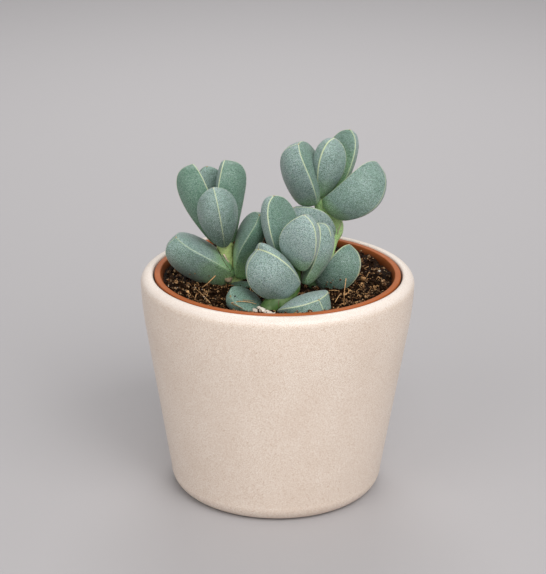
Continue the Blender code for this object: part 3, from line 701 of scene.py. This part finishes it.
# Larger things that lie about the soil and lean on the leaves, in millimetres: straws with their radius,
# tone from dark to pale and points, stones, chips of husk and bits with their size, tone and place
soilFinds = {
    "straws": [(0.17, 0.8, [(-26.1, -5.9, 74.4), (-23.9, -5.9, 76.2), (-21.4, -5.6, 78.8)]),
               (0.09, 1.0, [(-28.7, -7.6, 75.2), (-26.5, -12.0, 75.0), (-24.2, -20.0, 76.0),
                            (-22.4, -26.0, 76.4)]),
               (0.10, 0.7, [(-23.5, -9.2, 75.2), (-24.2, -16.9, 74.6)]),
               (0.12, 0.9, [(22.3, -20.4, 73.4), (22.4, -20.0, 78.5), (22.9, -19.6, 83.2)]),
               (0.11, 0.9, [(17.6, -8.9, 74.9), (19.5, -8.9, 75.0), (21.3, -8.5, 74.6)]),
               (0.13, 1.0, [(19.4, -18.3, 74.1), (20.6, -15.0, 74.9), (21.6, -12.4, 75.2)]),
               (0.11, 0.9, [(-15.4, -27.0, 76.9), (-12.5, -26.7, 77.4), (-9.6, -24.7, 76.4),
                            (-7.0, -23.4, 75.2)]),
               (0.10, 0.5, [(-15.4, -27.2, 76.8), (-13.4, -28.3, 76.4), (-11.6, -28.4, 75.4)]),
               (0.09, 0.4, [(-11.6, -25.6, 77.4), (-9.6, -24.4, 76.9), (-7.8, -22.8, 76.0)])],
    "stones": [(2.0, 0.7, (-7.4, -26.2, 73.9)), (1.3, 0.9, (-6.2, -25.1, 74.6)),
               (2.4, 1.0, (-4.9, -27.0, 74.1)), (2.6, 1.0, (-3.0, -28.0, 73.8)),
               (1.9, 0.9, (-1.4, -28.8, 73.5)), (1.0, 0.6, (35.6, 5.8, 76.9)),
               (2.6, 0.05, (-16.8, -3.2, 76.4))],
    "husks": [(2.2, 0.6, (29.8, 1.8, 75.3)), (1.1, 1.0, (-30.6, -13.0, 75.6))],
    "bits": [(0.5, 0.8, (17.0, -6.5, 77.0)), (0.6, 0.7, (18.3, -6.9, 77.0)), (0.5, 0.9, (19.0, -7.3, 78.1)),
             (0.6, 0.6, (16.8, -6.4, 76.0)), (0.5, 0.8, (19.4, -6.7, 75.4)), (0.7, 0.7, (21.5, -7.6, 78.4)),
             (0.7, 0.0, (-17.2, -24.4, 75.9)), (0.5, 0.1, (-13.2, -26.6, 77.4)),
             (0.6, 0.0, (-14.2, -25.3, 78.7)), (0.5, 0.8, (-30.2, -5.4, 79.1)),
             (0.5, 0.9, (-28.4, -6.4, 79.8)), (0.4, 0.8, (-23.6, -5.4, 78.6))],
}


# Height of the peat's top in millimetres: it banks up at the pot's wall, with broad clods, then crumble
def soilHeight(x, y, values):
    inward = min(1.0, max(0.0, (math.hypot(x, y) - values["bankStart"]) / values["bankWidth"]))
    height = values["level"] + values["tilt"] * y + values["bank"] * inward * inward * (3 - 2 * inward)
    height += values["clodHeight"] * noise.fractal(Vector((x, y, 0.0)) / values["clodMm"], 0.8, 2.0, 3)
    height += values["crumbHeight"] * noise.fractal(Vector((x, y, 3.0)) / values["crumbMm"], 0.8, 2.0, 3)
    return height


# Moist peat: dark brown, painted black in the hollows of its relief for the shade there, with crumbs from
# dark to light brown and pale rotted flecks
def peatMaterial(values):
    material, tree = newMaterial("moist peat")
    point = addNode(tree, "TexCoord", {}, "Object")
    fine = addNode(tree, "TexNoise", {"Vector": point, "Scale": 1 / (values["crumbleMm"] * mm),
                                      "Detail": 4.0, "Roughness": 0.7}, "Fac")
    own = addNode(tree, "Attribute", {"attribute_name": "tone"}, "Fac")
    mid = addNode(tree, "MapRange", {"Value": fine, "From Min": 0.4, "From Max": 0.6})
    flecks = addNode(tree, "MapRange", {"Value": fine, "From Min": 0.5, "From Max": 0.66})
    # painted shade: black where the relief dips, in the hollows between crumbs
    dampWithShade = addNode(tree, "Mix", {"data_type": "RGBA", 0: mid, 6: values["hollowShade"], 7: values["peat"]}, 2)
    dry = addNode(tree, "Mix", {"data_type": "RGBA", 0: flecks, 6: values["brown"], 7: values["pale"]}, 2)
    tone = addNode(tree, "Mix", {"data_type": "RGBA", 0: own, 6: dampWithShade, 7: dry}, 2)
    relief = addNode(tree, "Bump", {"Height": fine, "Distance": values["reliefMm"] * mm, "Strength": 0.9})
    shader = addNode(tree, "BsdfPrincipled", {"Base Color": tone, "Roughness": 0.6,
                                              "Specular IOR Level": 0.06, "Normal": relief})
    addNode(tree, "OutputMaterial", {"Surface": shader})
    return material


# Coir fibre and expanded perlite: dry and matt. Each strand or stone has its own tone between two, and a
# fine grain.
def dryMaterial(name, dark, pale, grainMm, reliefMm=0.1):
    material, tree = newMaterial(name)
    point = addNode(tree, "TexCoord", {}, "Object")
    grain = addNode(tree, "TexNoise", {"Vector": point, "Scale": 1 / (grainMm * mm), "Detail": 3.0}, "Fac")
    own = addNode(tree, "Attribute", {"attribute_name": "tone"}, "Fac")
    pits = addNode(tree, "MapRange", {"Value": grain, "From Min": 0.5, "From Max": 0.3, "To Max": 0.6})
    tone = addNode(tree, "Mix", {"data_type": "RGBA", 0: own, 6: dark, 7: pale}, 2)
    tone = addNode(tree, "Mix", {"data_type": "RGBA", 0: pits, 6: tone, 7: dark}, 2)
    relief = addNode(tree, "Bump", {"Height": grain, "Distance": reliefMm * mm, "Strength": 0.6})
    shader = addNode(tree, "BsdfPrincipled", {"Base Color": tone, "Roughness": 0.8, "Specular IOR Level": 0.3,
                                              "Normal": relief})
    addNode(tree, "OutputMaterial", {"Surface": shader})
    return material


# Rings of points from the middle out, then a skirt down inside the pot and a flat underside
def soilMesh(values):
    rings, around = int(values["radius"] / values["stepMm"]), values["around"]
    points = [(0.0, 0.0, soilHeight(0, 0, values) * mm)]
    for ring in range(1, rings + 1):
        radius = values["radius"] * ring / rings
        for step in range(around):
            x = radius * math.cos(2 * math.pi * step / around)
            y = radius * math.sin(2 * math.pi * step / around)
            points.append((x * mm, y * mm, soilHeight(x, y, values) * mm))
    hem, share = (values["level"] - values["skirtMm"]) * mm, values["skirtShare"]
    points += [(x * share, y * share, hem) for x, y, z in points[-around:]]
    faces = [(0, 1 + step, 1 + (step + 1) % around) for step in range(around)]
    for ring in range(rings):
        low, high = 1 + ring * around, 1 + (ring + 1) * around
        for step in range(around):
            after = (step + 1) % around
            faces.append((low + step, high + step, high + after, low + after))
    last = 1 + rings * around
    faces.append(tuple(range(last + around - 1, last - 1, -1)))
    mesh = bpy.data.meshes.new("peat_bed")
    mesh.from_pydata(points, [], faces)
    mesh.shade_smooth()
    return mesh


# Many small shapes as one mesh, each with its own tone
def joinedMesh(name, parts):
    points, faces, tones = [], [], []
    for shape, tone in parts:
        start = len(points)
        shape.verts.index_update()
        points += [tuple(v.co) for v in shape.verts]
        tones += [tone] * len(shape.verts)
        faces += [tuple(start + v.index for v in f.verts) for f in shape.faces]
        shape.free()
    mesh = bpy.data.meshes.new(name)
    mesh.from_pydata(points, [], faces)
    mesh.attributes.new("tone", "FLOAT", "POINT").data.foreach_set("value", tones)
    mesh.shade_smooth()
    return mesh


def spotOnSoil(draw, limit):
    angle, radius = draw.uniform(0, 2 * math.pi), limit * math.sqrt(draw.random())
    return radius * math.cos(angle), radius * math.sin(angle)


# A lump on the soil: a small ball dented at random, squashed and turned
def lump(draw, place, size, flat, fineness, values):
    shape = bmesh.new()
    bmesh.ops.create_icosphere(shape, subdivisions=fineness, radius=size / 2)
    shift = Vector((draw.uniform(0, 90), draw.uniform(0, 90), draw.uniform(0, 90)))
    turn = Matrix.Rotation(draw.uniform(0, fullTurn), 3, "Z")
    spin = turn @ Matrix.Rotation(draw.uniform(-1, 1), 3, "X")
    for vertex in shape.verts:
        vertex.co *= 1 + values["dent"] * noise.noise(vertex.co / (size * values["dentWidth"]) + shift)
        vertex.co.z *= flat
        vertex.co = (spin @ vertex.co + Vector(place)) * mm
    return shape


# Lumps strewn over the soil, most of them small
def scatterLumps(draw, count, sizes, shape, gloom, values):
    flat, proud, fineness = shape
    parts = []
    for _ in range(count):
        x, y = spotOnSoil(draw, values["radius"] - values["rimGap"])
        size = sizes[0] + (sizes[1] - sizes[0]) * draw.random() ** 2
        place = (x, y, soilHeight(x, y, values) + size * proud)
        parts.append((lump(draw, place, size, flat, fineness, values), draw.random() ** gloom))
    return parts


# A closed tube of few sides along points in millimetres
def tube(points, radii, sides):
    shape = bmesh.new()
    rows = []
    for i, point in enumerate(points):
        ahead = points[min(i + 1, len(points) - 1)] - points[max(i - 1, 0)]
        turn = ahead.to_track_quat("Z", "Y")
        spokes = [turn @ Vector((math.cos(2 * math.pi * s / sides), math.sin(2 * math.pi * s / sides), 0))
                  for s in range(sides)]
        rows.append([shape.verts.new((point + spoke * radii[i]) * mm) for spoke in spokes])
    for low, high in zip(rows[:-1], rows[1:]):
        for s in range(sides):
            after = (s + 1) % sides
            shape.faces.new((low[s], low[after], high[after], high[s]))
    shape.faces.new(rows[0][::-1])
    shape.faces.new(rows[-1])
    return shape


# A thin root that curls on the soil
def looseCurl(draw, values):
    spans, length = values["curlSpans"], draw.uniform(*values["curlSizes"])
    bendMost, wobble = values["curlBend"], values["curlWobble"]
    x, y = spotOnSoil(draw, values["radius"] - values["curlGap"])
    heading, bend = draw.uniform(0, fullTurn), draw.uniform(-bendMost, bendMost)
    lift = draw.uniform(*values["curlLift"])
    points = []
    for i in range(spans + 1):
        rise = values["curlClear"] + lift * math.sin(math.pi * i / spans)
        points.append(Vector((x, y, soilHeight(x, y, values) + rise)))
        heading += bend + draw.uniform(-wobble, wobble)
        x += length / spans * math.cos(heading)
        y += length / spans * math.sin(heading)
    thick = draw.uniform(*values["curlRadius"])
    return tube(points, [thick] * spans + [thick / 2], values["curlSides"]), draw.random()


def buildSoil(finds, values):
    draw = random.Random(values["seed"])
    peat = peatMaterial(values)
    keepPiece(newPiece("peat_bed", soilMesh(values), peat), "peat", "soil")
    crumbs = scatterLumps(draw, values["crumbs"], values["crumbSizes"], values["crumbShape"],
                          values["crumbGloom"], values)
    crumbs += [(lump(draw, place, size, *values["bitShape"], values), tone)
               for size, tone, place in finds["bits"]]
    keepPiece(newPiece("peat_crumbs", joinedMesh("peat_crumbs", crumbs), peat), "peat")
    flakes = scatterLumps(draw, values["flakes"], values["flakeSizes"], values["flakeShape"],
                          values["flakeGloom"], values)
    keepPiece(newPiece("peat_flakes", joinedMesh("peat_flakes", flakes), peat), "peat")
    strands = [looseCurl(draw, values) for _ in range(values["curls"])]
    for radius, tone, points in finds["straws"]:
        straw = tube([Vector(point) for point in points], [radius] * len(points), values["strawSides"])
        strands.append((straw, tone))
    strands += [(lump(draw, place, size, *values["huskShape"], values), tone)
                for size, tone, place in finds["husks"]]
    coir = dryMaterial("coir fibre", values["fibreDark"], values["fibre"], values["fibreMm"])
    keepPiece(newPiece("coir_fibres", joinedMesh("coir_fibres", strands), coir), "peat")
    grains = scatterLumps(draw, values["grains"], values["grainSizes"], values["grainShape"],
                          values["grainGloom"], values)
    grains += [(lump(draw, place, size, *values["stoneShape"], values), tone)
               for size, tone, place in finds["stones"]]
    perlite = dryMaterial("expanded perlite", values["perliteDark"], values["perlite"], values["poreMm"])
    keepPiece(newPiece("perlite_grains", joinedMesh("perlite_grains", grains), perlite), "peat")


buildSoil(soilFinds, soilMix)
print("soil filled")


# Pale dried edges of the leaf sheaths and an old scar, and dark lines of painted shadow where the leaves meet
# the left stem's sheath and in the cleft at the centre stem's foot: radius in millimetres, tone from dark to
# pale, points

sheathAndShadowMarks = {
    "dark": "#46351D", "pale": "#EBD3C0", "grainMm": 0.6, "sides": 6,
    # the first two strands and the dark one at the centre stem's foot are painted shadow lines in creases;
    # the pale ones are dried sheath
    "strands": [(0.10, 0.0, [(-20.9, 2.5, 85.9), (-20.2, 1.3, 84.7), (-18.9, -1.6, 83.3),
                             (-17.5, -3.5, 81.6), (-16.1, -4.0, 79.7)]),
                (0.10, 0.0, [(-15.9, 2.3, 87.0), (-15.6, 0.9, 85.4), (-15.5, -1.6, 83.5),
                             (-15.7, -3.2, 81.2), (-15.9, -3.8, 79.9)]),
                (0.30, 1.0, [(-18.8, 0.9, 84.4), (-18.1, 0.8, 83.3), (-17.6, 0.8, 82.2), (-16.9, 0.7, 81.4)]),
                (0.11, 0.1, [(0.5, -23.9, 77.0), (0.3, -24.5, 75.7), (0.5, -24.5, 74.2)]),
                (0.16, 0.7, [(22.3, 17.2, 91.1), (22.0, 16.6, 89.8), (21.4, 16.6, 88.4),
                             (21.1, 16.4, 86.9)])],
}


def buildSheaths(values):
    strands = [(tube([Vector(point) for point in points], [radius] * len(points), values["sides"]), tone)
               for radius, tone, points in values["strands"]]
    material = dryMaterial("dried leaf sheath and painted shadow", values["dark"], values["pale"], values["grainMm"])
    keepPiece(newPiece("sheath_edges_and_shadow_lines", joinedMesh("sheath_edges_and_shadow_lines", strands), material), "stem")


buildSheaths(sheathAndShadowMarks)
print("sheaths dried")
